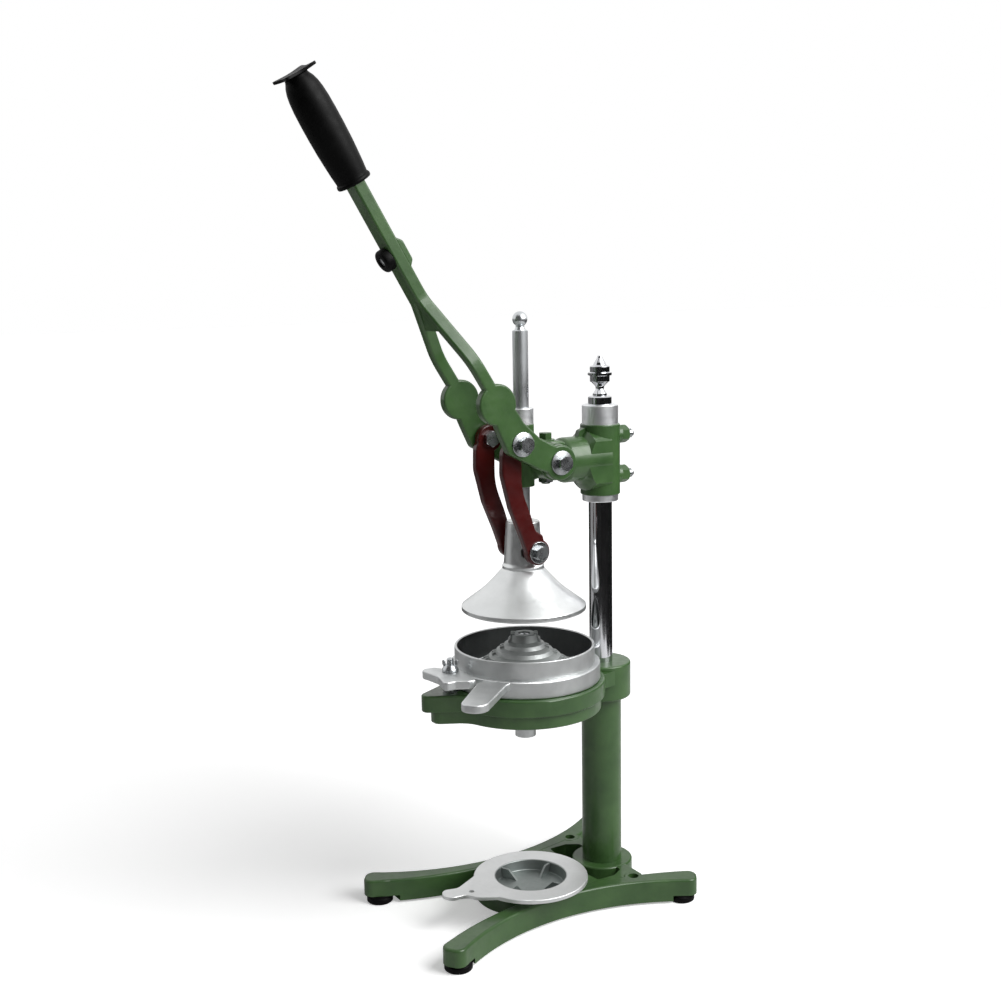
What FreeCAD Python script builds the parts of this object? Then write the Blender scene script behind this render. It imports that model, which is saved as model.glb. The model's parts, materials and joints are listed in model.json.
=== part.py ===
import FreeCAD, Part

import math
import os

from FreeCAD import Vector

# Lever citrus juice press, modelled about its column: the column axis is x = y = 0, the floor is
# z = 0 and the operator stands on the -Y side. The finished pieces are moved along Y at the end,
# so that the part's origin lies under the middle of the whole press.

# Clearances
fit = 0.05              # running fit, on the radius
gap = 0.3               # space between pieces that move past each other
seat_gap = 0.2          # space under a piece that only rests on another

# Column and base
column_r = 11.0
column_top = 478.5
base_bottom = 8.0
base_thick = 16.0
base_top = base_bottom + base_thick
leg_width = 23.0        # at the feet
leg_waist = 13.5        # width of a leg midway between its feet
leg_bottom = 2.5        # underside of a leg between its feet
leg_curve = 231.0       # radius of the middle of a leg at its feet
foot_spread = 77.0      # column axis to foot, sideways
foot_reach = 122.1      # half the distance between a front and a rear foot
leg_tip = 14.5          # leg beyond the foot's centre
base_mid_y = -84.0
web_r = 50.0
socket_r = 29.5
bolt_hole_r = 5.0
bolt_hole_x = 54.0
bolt_hole_y = -1.5
bolt_boss_wall = 4.0
foot_r = 12.5
foot_clear = 1.0        # space round a foot under its leg
foot_screw_r = 2.5
foot_screw_grip = 9.5   # length of a foot screw in its leg
spigot_r = 8.0          # threaded lower end of the column
nut_recess_r = 15.0
nut_recess_top = 13.5
column_seat = 16.5

# Table
press_reach = 86.65     # column axis to press rod axis
rod_y = -press_reach
table_r = 74.5
table_top = 221.5
table_rim = 15.5        # height of the upper layer of the table
table_under = 12.0      # height of the under layer
under_inset = 3.5
under_stop = 10.0       # under layer to the front of the lug
table_bore_r = 52.0
lug_x = -3.5            # middle of the forward lug
lug_tip_half = 4.4      # half the width of the lug's blunt tip, before it is rounded
lug_tip_round = 7.0
lug_spread = 0.53       # how fast a side of the lug leans outwards
lug_reach = 106.0       # press rod axis to the front of the table
hub_r = 28.2
hub_bottom = 190.0
hub_top = 224.0
sleeve_r = 19.1         # spacer tube between base and table
sleeve_wall = 3.5
register_high = 3.0     # rings that centre the spacer tube at its ends

# Juice pan and strainer
pan_r = 70.0
pan_high = 15.8
pan_bottom = table_top + seat_gap
pan_top = pan_bottom + pan_high
pan_floor = 2.3
bowl_r = 65.0
bowl_wall = 2.5
bowl_floor = 2.0
bowl_top = 254.0
spout_r = 9.7
spout_wall = 2.0
spout_bottom = 165.5
funnel_low = 196.0
spout_socket = 4.0      # depth of the funnel's socket for the spout
drain_hole_r = 1.7
drain_hole_count = 36
funnel_lip = 3.0        # lip of the funnel beyond its neck

# Reamer
reamer_r = 50.0
reamer_top_r = 12.0
reamer_top = 263.7
reamer_drum = 9.0       # height of the smooth drum on top
reamer_ledge = 8.0      # drum to the edge of the top step
reamer_tiers = 5
reamer_rib_angle = 59.0
reamer_rib_wide = 3.0
reamer_rib_apart = 6.4
reamer_tooth = 3.0      # how far a tooth stands out of its step
reamer_screw_r = 2.5

# Head
head_r = 18.65
head_bottom = 386.3
head_top = 452.7
arm_r = 21.0
arm_z = 421.5
flare_drop = 2.5        # flare at the root of the arm, lower than the arm
bush_r = 16.95
bush_sleeve_r = 13.5
lower_lip = 6.3
collar_high = 18.0
lock_screw_r = 4.0
lock_screw_low = 403.0
lock_screw_high = 441.0
lock_pad_y = 21.0
lock_nut_thick = 8.5
lock_nut_flats = 14.7
lock_screw_end = 37.4
rod_boss_r = 11.4
rod_boss_bottom = 401.6
rod_boss_top = 458.3
rod_bush_r = 11.1
rod_bush_high = 14.5
head_bolt_r = 4.0
head_bolt_flats = 11.0
head_bolt_back = 6.6    # from the fulcrum towards the column

# Linkage
fulcrum_back = 19.05    # press rod axis to fulcrum
fulcrum_y = rod_y + fulcrum_back
fulcrum_z = 425.1
crank = 44.7            # fulcrum to upper link bolt
crank_rise = 25.9       # degrees above level
link_length = 102.6
crank_y = fulcrum_y - crank * math.cos(math.radians(crank_rise))
crank_z = fulcrum_z + crank * math.sin(math.radians(crank_rise))
foot_z = crank_z - math.sqrt(link_length ** 2 - (rod_y - crank_y) ** 2)
pivot_boss_r = 17.0
cheek_inside = 27.5     # column plane to the inner face of a cheek
cheek_thick = 9.0
cheek_outside = cheek_inside + cheek_thick
link_thick = 7.5
link_outside = cheek_inside - gap - 0.2
link_inside = link_outside - link_thick
fulcrum_bolt_r = 5.0
fulcrum_bolt_inner = 8.0
link_bolt_r = 4.0
link_nut_thick = 5.0
foot_bolt_r = 3.0
foot_bolt_inner = 11.5
bolt_flange_r = 11.0
bolt_flange_thick = 2.0
bolt_flats = 13.0
bolt_head_high = 6.5

# Lever
lever_lean = 30.4       # degrees, forward of upright
bar_wide = 18.0
bar_deep = 11.5
bar_mid = -29.4         # middle of the bar, forward of the line through the fulcrum
arm_shift = 4.2         # arms at the cheeks, behind the bar's line
arm_edge = 2.0          # rounding of the bar's and the arms' long edges
crotch_at = 186.5       # along the lever, from the fulcrum
spread_at = 126.0
crotch_web_end = 157.0
cheek_disc_at = 82.0
cheek_disc_r = 18.2
eye_r = 16.0
bumper_at = 231.0
bumper_r = 10.0
bumper_thick = 8.0
grip_start = 298.0
grip_end = 393.0
grip_r = 16.2
grip_spigot_r = 6.0
cap_half = 15.5
cap_thick = 4.2

# Press
guide_rod_r = 7.0
guide_rod_top = 542.5
ball_r = 6.8
ball_z = 552.2
neck_top_r = 15.4
neck_low_r = 18.8
cone_r = 57.5
cone_wall = 4.5
flank_out = 16.5        # where the flank turns, outside the neck
flank_down = 18.8       # and below it
flank_curve = 90.0
cone_lip = 3.9
lip_drop = 57.7         # link foot to the cone's lip
slot_half = 10.5        # half the width of the slot that frees the link foot bolt
slot_drop = 3.3         # slot below the bolt at rest

# Latch
stud_x = -1.5
stud_y = -164.5
stud_r = 3.0
stud_top = 252.0
latch_thick = 8.0
latch_proud = 2.4       # top of the latch over the rim of the pan
latch_spacer_r = 7.4
wing_boss_r = 6.0
wing_boss_high = 6.0
wing_high = 10.5
wing_span = 7.3
wing_thick = 2.4
wing_angle = 59.0       # of the wings at rest, from the X axis

# Spare strainer plate
spare_x = 20.5
spare_y = -96.0
spare_r = 53.5
spare_high = 12.0
spare_thick = 2.2
spare_cup_r = 33.0
spare_fins = 4

UP = Vector(0, 0, 1)
ACROSS = Vector(1, 0, 0)
BACK = Vector(0, 1, 0)

# The lever's own directions: along the bar and square to its rear face
ALONG = Vector(0, -math.sin(math.radians(lever_lean)), math.cos(math.radians(lever_lean)))
REAR = Vector(0, math.cos(math.radians(lever_lean)), math.sin(math.radians(lever_lean)))
FULCRUM = Vector(0, fulcrum_y, fulcrum_z)
CRANK = Vector(0, crank_y, crank_z)
FOOT = Vector(0, rod_y, foot_z)
crank_s = (CRANK - FULCRUM).dot(ALONG)
crank_t = (CRANK - FULCRUM).dot(REAR)


def cylinder(radius, start, end):
    """Round bar between two points."""
    along = end - start
    return Part.makeCylinder(radius, along.Length, start, along)


def ring(outer, inner, start, end):
    """Round tube between two points."""
    return cylinder(outer, start, end).cut(cylinder(inner, start, end))


def outline(corners, place):
    """Closed wire through (a, b, radius) corners, each corner rounded to its radius."""
    count = len(corners)
    spans = []
    for index in range(count):
        a, b, radius = corners[index]
        corner = Vector(a, b, 0)
        last = Vector(corners[index - 1][0], corners[index - 1][1], 0)
        following = Vector(corners[(index + 1) % count][0], corners[(index + 1) % count][1], 0)
        if radius == 0:
            spans.append((corner, None, corner))
            continue
        backward = (last - corner).normalize()
        forward = (following - corner).normalize()
        half = backward.getAngle(forward) / 2
        inward = (backward + forward).normalize()
        set_back = radius / math.tan(half)
        middle = corner + inward * (radius / math.sin(half) - radius)
        spans.append((corner + backward * set_back, middle, corner + forward * set_back))
    edges = []
    for index in range(count):
        start, middle, end = spans[index]
        left = spans[index - 1][2]
        if (start - left).Length > 1e-6:
            edges.append(Part.LineSegment(place(left.x, left.y), place(start.x, start.y)).toShape())
        if middle is not None:
            points = [place(point.x, point.y) for point in (start, middle, end)]
            edges.append(Part.Arc(*points).toShape())
    return Part.Wire(Part.__sortEdges__(edges))


def slab(corners, place, depth):
    """Flat piece: a rounded outline carried through a depth vector."""
    return Part.Face(outline(corners, place)).extrude(depth)


def turned(profile, base, axis):
    """Turned piece: a rounded (radius, height, rounding) profile spun about an axis."""
    side = axis.cross(ACROSS)
    if side.Length < 0.5:
        side = axis.cross(UP)
    side = side.normalize()

    def place(radius, height):
        return base + side * radius + axis * height

    return Part.Face(outline(profile, place)).revolve(base, axis, 360)


def hexagon(flats, start, end, point_up=True):
    """Hexagon bar with its far end chamfered, between two points."""
    along = end - start
    direction = Vector(along).normalize()
    side = direction.cross(ACROSS)
    if side.Length < 0.5:
        side = UP
    side = Vector(side).normalize()
    other = direction.cross(side)
    corner_r = flats / math.sqrt(3)
    turn = 0 if point_up else math.radians(30)
    points = []
    for index in range(7):
        angle = turn + math.radians(60 * index)
        points.append(start + side * (corner_r * math.cos(angle)) + other * (corner_r * math.sin(angle)))
    prism = Part.Face(Part.makePolygon(points)).extrude(along)
    chamfer = (corner_r - flats / 2) * 1.3
    blank = cylinder(corner_r, start, end)
    far = [edge for edge in blank.Edges if is_circle_at(edge, end, corner_r)]
    return prism.common(blank.makeChamfer(chamfer * 0.6, far))


def is_circle_at(edge, centre, radius):
    curve = edge.Curve
    if not isinstance(curve, Part.Circle):
        return False
    return (curve.Center - centre).Length < 1e-3 and abs(curve.Radius - radius) < 1e-3


def level_edges(shape, height):
    """Edges that lie wholly at one height."""
    found = []
    for edge in shape.Edges:
        box = edge.BoundBox
        if abs(box.ZMin - height) < 1e-3 and abs(box.ZMax - height) < 1e-3:
            found.append(edge)
    return found


def upright_edges(shape):
    """Straight edges that run along Z."""
    return [edge for edge in shape.Edges if is_straight(edge, UP)]


def is_straight(edge, direction):
    if not isinstance(edge.Curve, Part.Line):
        return False
    return abs(edge.tangentAt(edge.FirstParameter).dot(direction)) > 0.9999


def side_edges(shape, x):
    """Edges that lie wholly in a plane across the press."""
    found = []
    for edge in shape.Edges:
        box = edge.BoundBox
        if abs(box.XMin - x) < 1e-3 and abs(box.XMax - x) < 1e-3:
            found.append(edge)
    return found


def joined(first, *others):
    return first.fuse(list(others)).removeSplitter()


def mirrored(shape):
    """The same piece on the other side of the press."""
    return shape.mirror(Vector(0, 0, 0), ACROSS)


def both_sides(shape):
    return Part.makeCompound([shape, mirrored(shape)])


def plan(height):
    return lambda a, b: Vector(a, b, height)


def lever_side(x):
    """Plane beside the lever: distance along the bar and towards its rear."""
    return lambda s, t: FULCRUM + ALONG * s + REAR * t + ACROSS * x


# Base: bowed legs, web, column socket and the feet

leg_arc_x = foot_spread + math.sqrt(leg_curve ** 2 - foot_reach ** 2)
foot_places = [(x, y) for x in (-foot_spread, foot_spread)
               for y in (base_mid_y - foot_reach, base_mid_y + foot_reach)]


def leg():
    """Right leg: bowed, narrow midway, with its underside cut back round each foot."""
    outer = leg_curve - leg_width / 2
    inner = leg_curve + leg_width / 2
    end = math.asin(foot_reach / leg_curve) + leg_tip / leg_curve

    def on_ring(radius, angle):
        return Vector(leg_arc_x - radius * math.cos(angle),
                      base_mid_y + radius * math.sin(angle), leg_bottom)

    edges = [
        Part.Arc(on_ring(outer, -end), on_ring(outer, 0), on_ring(outer, end)).toShape(),
        Part.LineSegment(on_ring(outer, end), on_ring(inner, end)).toShape(),
        Part.Arc(on_ring(inner, end), on_ring(outer + leg_waist, 0), on_ring(inner, -end)).toShape(),
        Part.LineSegment(on_ring(inner, -end), on_ring(outer, -end)).toShape(),
    ]
    solid = Part.Face(Part.Wire(edges)).extrude(UP * (base_top - leg_bottom))
    solid = solid.makeFillet(leg_width * 0.36, upright_edges(solid))
    solid = solid.makeFillet(2.5, level_edges(solid, base_top))
    room = foot_r + foot_clear
    for way in (-1, 1):
        start = Vector(foot_spread - 2 * room, base_mid_y + way * foot_reach - way * room, 0)
        relief = Part.makeBox(4 * room, 4 * room, base_bottom)
        relief.translate(start if way > 0 else start - BACK * (4 * room))
        solid = solid.cut(relief)
    return solid


def base_casting():
    right = leg()
    disc = cylinder(web_r, Vector(0, rod_y, base_bottom), Vector(0, rod_y, base_top))
    disc = disc.makeFillet(1.8, level_edges(disc, base_top))
    waist = leg_arc_x - leg_curve
    back = [(-waist - 12, 8, 0), (waist + 12, 8, 0), (waist + 2, -40, 0), (waist - 4, rod_y, 0),
            (-waist + 4, rod_y, 0), (-waist - 2, -40, 0)]
    web = slab(back, plan(base_bottom), UP * (base_thick - 0.4))
    pocket = [(42, -34, 3), (42, -15, 3), (35, -3, 3), (12, -3, 3), (10, -32, 3), (17, -37, 3)]
    hole = slab(pocket, plan(base_bottom - 1), UP * (base_thick + 2))
    web = web.cut(hole).cut(mirrored(hole))
    socket = cylinder(socket_r, Vector(0, 0, base_bottom), Vector(0, 0, base_top))
    socket = socket.makeFillet(2.0, level_edges(socket, base_top))
    low = Vector(bolt_hole_x, bolt_hole_y, leg_bottom)
    boss = cylinder(bolt_hole_r + bolt_boss_wall, low, Vector(bolt_hole_x, bolt_hole_y, base_top))
    boss = boss.makeFillet(1.0, level_edges(boss, leg_bottom) + level_edges(boss, base_top))
    body = joined(right, mirrored(right), disc, web, socket, boss, mirrored(boss), register(base_top))
    seat = Vector(0, 0, column_seat)
    body = body.cut(cylinder(column_r + fit, seat, Vector(0, 0, base_top + 10)))
    body = body.cut(cylinder(spigot_r + fit, Vector(0, 0, base_bottom - 1), seat))
    body = body.cut(cylinder(nut_recess_r, Vector(0, 0, base_bottom - 1), Vector(0, 0, nut_recess_top)))
    for x in (-bolt_hole_x, bolt_hole_x):
        low = Vector(x, bolt_hole_y, leg_bottom - 1)
        body = body.cut(cylinder(bolt_hole_r, low, Vector(x, bolt_hole_y, base_top + 1)))
    for x, y in foot_places:
        low = Vector(x, y, base_bottom - 1)
        body = body.cut(cylinder(foot_screw_r, low, low + UP * (foot_screw_grip + 1.5)))
    return body


foot_seat = 4.2         # height of the screw head's seat in a foot


def rubber_feet():
    profile = [(foot_screw_r + gap, base_bottom, 0), (foot_r - 1.2, base_bottom, 0.6),
               (foot_r - 1.2, base_bottom - 1.6, 0), (foot_r, base_bottom - 2.2, 0),
               (foot_r, 1.0, 0), (foot_r - 1.0, 0, 0), (foot_screw_r + 2.7, 0, 0),
               (foot_screw_r + 2.7, foot_seat, 0), (foot_screw_r + gap, foot_seat, 0)]
    return Part.makeCompound([turned(profile, Vector(x, y, 0), UP) for x, y in foot_places])


def foot_screws():
    tip = base_bottom + foot_screw_grip
    profile = [(0, 1.4, 0), (foot_screw_r + 1.4, 1.4, 0), (foot_screw_r + 2.2, 2.4, 0),
               (foot_screw_r + 2.2, foot_seat, 0), (foot_screw_r, foot_seat, 0),
               (foot_screw_r, tip, 0), (0, tip, 0)]
    return Part.makeCompound([turned(profile, Vector(x, y, 0), UP) for x, y in foot_places])


def column_rod():
    profile = [(0, base_bottom + 0.8, 0), (spigot_r - 1, base_bottom + 0.8, 0),
               (spigot_r, base_bottom + 1.8, 0), (spigot_r, column_seat, 0),
               (column_r, column_seat, 0), (column_r, column_top - 1, 0),
               (column_r - 1, column_top, 0), (0, column_top, 0)]
    return turned(profile, Vector(0, 0, 0), UP)


def column_nut():
    top = Vector(0, 0, nut_recess_top)
    low = Vector(0, 0, base_bottom + 0.6)
    return hexagon(spigot_r * 3, top, low).cut(cylinder(spigot_r, low, top))


def column_finial():
    """Turned knob: foot, waist, ringed barrel and a pointed tip."""
    profile = [(0, 0, 0), (6.6, 0, 0.5), (6.6, 2.2, 0), (3.8, 6.5, 1.5), (4.2, 9.0, 1.0),
               (7.6, 12.6, 1.0), (9.2, 13.6, 0.5), (9.2, 18.6, 0), (11.2, 19.4, 0),
               (11.2, 21.6, 0), (9.2, 22.4, 0), (9.2, 27.6, 0.6), (6.4, 28.6, 0.6),
               (5.2, 31.2, 1.0), (2.8, 35.2, 0.5), (2.4, 37.2, 0.5), (0, 37.4, 0)]
    return turned(profile, Vector(0, 0, column_top), UP)


def spacer_tube():
    return ring(sleeve_r, sleeve_r - sleeve_wall, Vector(0, 0, base_top), Vector(0, 0, hub_bottom))


def register(bottom):
    """Low ring inside an end of the spacer tube."""
    low = Vector(0, 0, bottom)
    return cylinder(sleeve_r - sleeve_wall - fit, low, low + UP * register_high)


# Table: round plate in two layers with a forward lug, and the hub on the column

def table_layer(inset, stop, bottom, high):
    """One layer: a disc with a tapered lug, smaller by the inset and ending short of the lug's front."""
    radius = table_r - inset
    front = rod_y - lug_reach + stop
    tip = lug_tip_half + lug_spread * stop - inset * math.hypot(1, lug_spread)
    root = tip + lug_spread * (rod_y - front)
    centre = Vector(0, rod_y, bottom)
    disc = cylinder(radius, centre, centre + UP * high)
    corners = [(lug_x - root, rod_y, 0), (lug_x - tip, front, lug_tip_round),
               (lug_x + tip, front, lug_tip_round), (lug_x + root, rod_y, 0)]
    layer = joined(disc, slab(corners, plan(bottom), UP * high))
    throats = []
    for edge in upright_edges(layer):
        out = edge.CenterOfMass - centre
        if out.y < -10 and abs(math.hypot(out.x, out.y) - radius) < 0.01:
            throats.append(edge)
    layer = layer.makeFillet(26.0, throats)
    layer = layer.makeFillet(1.6, level_edges(layer, bottom + high))
    return layer.makeFillet(1.2, level_edges(layer, bottom))


def table_casting():
    upper = table_layer(0, 0, table_top - table_rim, table_rim)
    under = table_layer(under_inset, under_stop, table_top - table_rim - table_under, table_under + 3)
    hub = cylinder(hub_r, Vector(0, 0, hub_bottom), Vector(0, 0, hub_top))
    hub = hub.makeFillet(2.0, level_edges(hub, hub_top) + level_edges(hub, hub_bottom))
    neck = [(-hub_r + 1, 0, 0), (-hub_r - 6, -34, 0), (hub_r + 6, -34, 0), (hub_r - 1, 0, 0)]
    web = slab(neck, plan(table_top - table_rim), UP * (table_rim - 1.6))
    body = joined(upper, under, hub, web, register(hub_bottom - register_high))
    body = body.cut(cylinder(column_r + fit, Vector(0, 0, hub_bottom - 10), Vector(0, 0, hub_top + 1)))
    low = Vector(0, rod_y, hub_bottom)
    body = body.cut(cylinder(table_bore_r, low, low + UP * 60))
    seat = Vector(0, rod_y, table_top)
    body = body.cut(cylinder(pan_r + 2 * gap, seat, seat + UP * 60))
    stud = Vector(stud_x, stud_y, hub_bottom)
    return body.cut(cylinder(stud_r, stud, stud + UP * 60))


# Juice pan with its tab, the funnel with the spout, the strainer bowl and the reamer

funnel_neck_r = table_bore_r - 1


def tab_outline():
    """Tab of the pan in plan, measured from the press rod axis."""
    root = pan_r - 8
    return [(root * 0.42, -root * 0.80, 0), (pan_r * 0.50, -pan_r * 1.02, 6),
            (pan_r * 0.50 + 43, -pan_r * 1.02 - 42, 9), (pan_r * 0.50 + 63.5, -pan_r * 1.02 - 30, 12),
            (pan_r * 0.78, -pan_r * 0.76, 10), (pan_r * 0.70, -pan_r * 0.60, 0),
            (root * 0.80, -root * 0.42, 0)]


def juice_pan():
    """Ring-shaped floor with a rim, and the tab it is lifted by."""
    inner = bowl_r + 0.2
    floor = pan_bottom + pan_floor
    mouth = funnel_neck_r + funnel_lip
    profile = [(mouth, pan_bottom, 0), (pan_r, pan_bottom, 1.0), (pan_r, pan_top, 1.2),
               (inner, pan_top, 0), (inner, floor, 0), (mouth, floor, 0)]
    pan = turned(profile, Vector(0, rod_y, 0), UP)
    tab = slab(tab_outline(), lambda a, b: Vector(a, rod_y + b, pan_top - 8), UP * 7.5)
    tab = tab.makeFillet(1.6, level_edges(tab, pan_top - 0.5) + level_edges(tab, pan_top - 8))
    centre = Vector(0, rod_y, pan_bottom)
    tab = tab.cut(cylinder(pan_r - 2, centre, centre + UP * 40))
    return joined(pan, tab)


def spout_funnel():
    """Funnel pressed into the pan's floor, with a socket for the spout."""
    floor = pan_bottom + pan_floor
    mouth = funnel_neck_r + funnel_lip
    shoulder = funnel_low + spout_socket
    profile = [(funnel_neck_r, pan_bottom, 0), (mouth, pan_bottom, 0), (mouth, floor, 0),
               (spout_r - spout_wall, shoulder, 0), (spout_r, shoulder, 0), (spout_r, funnel_low, 0)]
    return turned(profile, Vector(0, rod_y, 0), UP)


def spout_tube():
    """Spout: a straight tube pressed into the funnel's socket."""
    low = Vector(0, rod_y, spout_bottom)
    return ring(spout_r, spout_r - spout_wall, low, Vector(0, rod_y, funnel_low + spout_socket))


def strainer_bowl():
    low = pan_bottom + pan_floor
    profile = [(reamer_screw_r, low, 0), (bowl_r, low, 0.8), (bowl_r, bowl_top, 0.9),
               (bowl_r - bowl_wall, bowl_top, 0.9), (bowl_r - bowl_wall, low + bowl_floor, 1.5),
               (reamer_screw_r, low + bowl_floor, 0)]
    bowl = turned(profile, Vector(0, rod_y, 0), UP)
    holes = []
    middle = reamer_r + seat_gap + drain_hole_r
    for index in range(drain_hole_count):
        angle = 2 * math.pi * index / drain_hole_count
        at = Vector(middle * math.cos(angle), rod_y + middle * math.sin(angle), low - 1)
        holes.append(cylinder(drain_hole_r, at, at + UP * (bowl_floor + 2)))
    return bowl.cut(holes)


reamer_bottom = pan_bottom + pan_floor + bowl_floor


def reamer_cone():
    """Cast cone: a smooth drum on top, steps below it, and a pair of toothed ribs on two sides."""
    rise = reamer_top - reamer_bottom
    tier_high = (rise - reamer_drum) / reamer_tiers
    tier_deep = (reamer_r - reamer_top_r - reamer_ledge) / (reamer_tiers - 1)
    profile = [(0, 0, 0), (reamer_r, 0, 0)]
    teeth = [(0, 0, 0), (reamer_r, 0, 0)]
    for tier in range(reamer_tiers):
        radius = reamer_r - tier * tier_deep
        profile.append((radius, tier_high * tier + 2.2, 0))
        profile.append((radius - 1.6, tier_high * (tier + 1), 0.8))
        teeth.append((radius + reamer_tooth, tier_high * (tier + 0.55), 1.2))
        teeth.append((radius - 1.6 - tier_deep * 0.5, tier_high * (tier + 0.9), 0))
    profile.append((reamer_top_r + 1, rise - reamer_drum + 2.2, 0))
    profile.append((reamer_top_r, rise, 1.2))
    profile.append((0, rise, 0))
    teeth.append((reamer_top_r + reamer_tooth, rise - reamer_drum * 0.6, 1.2))
    teeth.append((reamer_top_r + 0.6, rise - reamer_drum * 0.35, 0))
    teeth.append((reamer_top_r + 0.6, rise + 0.9, 1.0))
    teeth.append((reamer_top_r - 3.4, rise + 0.9, 0.8))
    teeth.append((reamer_top_r - 3.4, rise - 1, 0))
    teeth.append((0, rise - 1, 0))
    ribs = []
    for side_angle in (reamer_rib_angle, reamer_rib_angle + 180):
        angle = math.radians(side_angle)
        out = Vector(math.cos(angle), math.sin(angle), 0)
        side = Vector(-math.sin(angle), math.cos(angle), 0)
        for row in (-1, 1):
            offset = row * reamer_rib_apart / 2 - reamer_rib_wide / 2
            start = Vector(0, rod_y, reamer_bottom) + side * offset
            ribs.append(slab(teeth, lambda a, b: start + out * a + UP * b, side * reamer_rib_wide))
    body = joined(turned(profile, Vector(0, rod_y, reamer_bottom), UP), *ribs)
    well = Vector(0, rod_y, reamer_top - 3)
    body = body.cut(cylinder(reamer_screw_r + 3.2, well, well + UP * 10))
    low = Vector(0, rod_y, reamer_bottom - 1)
    return body.cut(cylinder(reamer_screw_r, low, well + UP))


def reamer_screw():
    """Screw from the top of the reamer down through the strainer floor."""
    seat = reamer_top - 3
    low = pan_bottom + pan_floor
    profile = [(0, low, 0), (reamer_screw_r, low, 0), (reamer_screw_r, seat, 0),
               (reamer_screw_r + 2.6, seat, 0), (reamer_screw_r + 2.6, seat + 2.0, 1.0),
               (0, seat + 2.6, 0)]
    screw = turned(profile, Vector(0, rod_y, 0), UP)
    slot = Part.makeBox(12, 1.2, 2, Vector(-6, rod_y - 0.6, seat + 1.4))
    return screw.cut(slot)


# Head: clamp on the column, round arm, fulcrum boss and the press rod's boss

head_bolt_seat = arm_z + arm_r
head_nut_seat = fulcrum_z - pivot_boss_r + 1


def head_casting():
    body = cylinder(head_r, Vector(0, 0, head_bottom), Vector(0, 0, head_top))
    body = body.makeFillet(1.2, level_edges(body, head_bottom) + level_edges(body, head_top))
    arm_end = fulcrum_y + pivot_boss_r + 3
    arm_tip = Vector(0, arm_end, arm_z)
    arm = cylinder(arm_r, Vector(0, 0, arm_z), arm_tip)
    arm = arm.makeFillet(6.0, [edge for edge in arm.Edges if is_circle_at(edge, arm_tip, arm_r)])
    flare_end = arm_r - flare_drop - 0.7
    flare = turned([(0, 0, 0), (arm_r + 7, 0, 0), (arm_r + 7, head_r, 0), (flare_end, head_r + 9, 12),
                    (flare_end, 36, 0), (0, 36, 0)], Vector(0, 0, arm_z - flare_drop), -BACK)
    flare = flare.common(Part.makeBox(2 * head_r + 3, 60, 90, Vector(-head_r - 1.5, -48, head_bottom + 2)))
    pivot = cylinder(pivot_boss_r, Vector(-cheek_inside + gap, fulcrum_y, fulcrum_z),
                     Vector(cheek_inside - gap, fulcrum_y, fulcrum_z))
    pivot_ends = side_edges(pivot, cheek_inside - gap) + side_edges(pivot, gap - cheek_inside)
    pivot = pivot.makeFillet(1.0, pivot_ends)
    shoulder = [(arm_end + 6, arm_z + arm_r - 2, 10), (fulcrum_y + 4, fulcrum_z + pivot_boss_r, 12),
                (rod_y, rod_boss_top - 9, 0), (rod_y, rod_boss_bottom + 4, 0),
                (fulcrum_y, fulcrum_z - pivot_boss_r + 2, 14),
                (arm_end - 2, fulcrum_z - pivot_boss_r + 2, 5), (arm_end + 6, arm_z - arm_r + 4, 0)]
    cheek_x = rod_boss_r - 1.4
    web = slab(shoulder, lambda a, b: Vector(-cheek_x, a, b), ACROSS * (2 * cheek_x))
    web = web.makeFillet(2.0, side_edges(web, cheek_x) + side_edges(web, -cheek_x))
    neck = cylinder(pivot_boss_r - 4, Vector(0, arm_end + 1, fulcrum_z), FULCRUM)
    boss = cylinder(rod_boss_r, Vector(0, rod_y, rod_boss_bottom), Vector(0, rod_y, rod_boss_top))
    boss = boss.makeFillet(0.8, level_edges(boss, rod_boss_bottom) + level_edges(boss, rod_boss_top))
    bolt_y = fulcrum_y + head_bolt_back
    lug = cylinder(8.5, Vector(0, bolt_y, fulcrum_z - pivot_boss_r + 1),
                   Vector(0, bolt_y, arm_z + arm_r))
    gusset = slab([(-head_r + 3, head_top - 1.5, 0), (-head_r - 6.5, head_top - 5, 3),
                   (-head_r - 9, arm_z + arm_r - 3, 0), (-head_r + 3, arm_z + arm_r - 3, 0)],
                  lambda a, b: Vector(-3, a, b), ACROSS * 6)
    pads = []
    for z in (lock_screw_low, lock_screw_high):
        pads.append(cylinder(8.5, Vector(0, 8, z), Vector(0, lock_pad_y, z)))
    body = joined(body, arm, flare, pivot, web, neck, boss, lug, gusset, *pads)
    body = body.cut(cylinder(bush_sleeve_r, Vector(0, 0, head_bottom - 1), Vector(0, 0, head_top + 1)))
    body = body.cut(cylinder(rod_boss_r - 2.2, Vector(0, rod_y, rod_boss_bottom - 1),
                             Vector(0, rod_y, rod_boss_top + 1)))
    for side in (-1, 1):
        inner = Vector(side * fulcrum_bolt_inner, fulcrum_y, fulcrum_z)
        outer = Vector(side * cheek_inside, fulcrum_y, fulcrum_z)
        body = body.cut(cylinder(fulcrum_bolt_r, inner, outer))
    low = Vector(0, bolt_y, rod_boss_bottom - 10)
    body = body.cut(cylinder(head_bolt_r, low, low + UP * 80))
    seat = Vector(0, bolt_y, head_bolt_seat)
    body = body.cut(cylinder(head_bolt_flats / math.sqrt(3) + gap, seat, seat + UP * 20))
    seat = Vector(0, bolt_y, head_nut_seat)
    body = body.cut(cylinder(bolt_flats / math.sqrt(3) + gap, seat, seat - UP * 20))
    for z in (lock_screw_low, lock_screw_high):
        body = body.cut(cylinder(lock_screw_r, Vector(0, 5, z), Vector(0, lock_pad_y + 1, z)))
    return body


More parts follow.
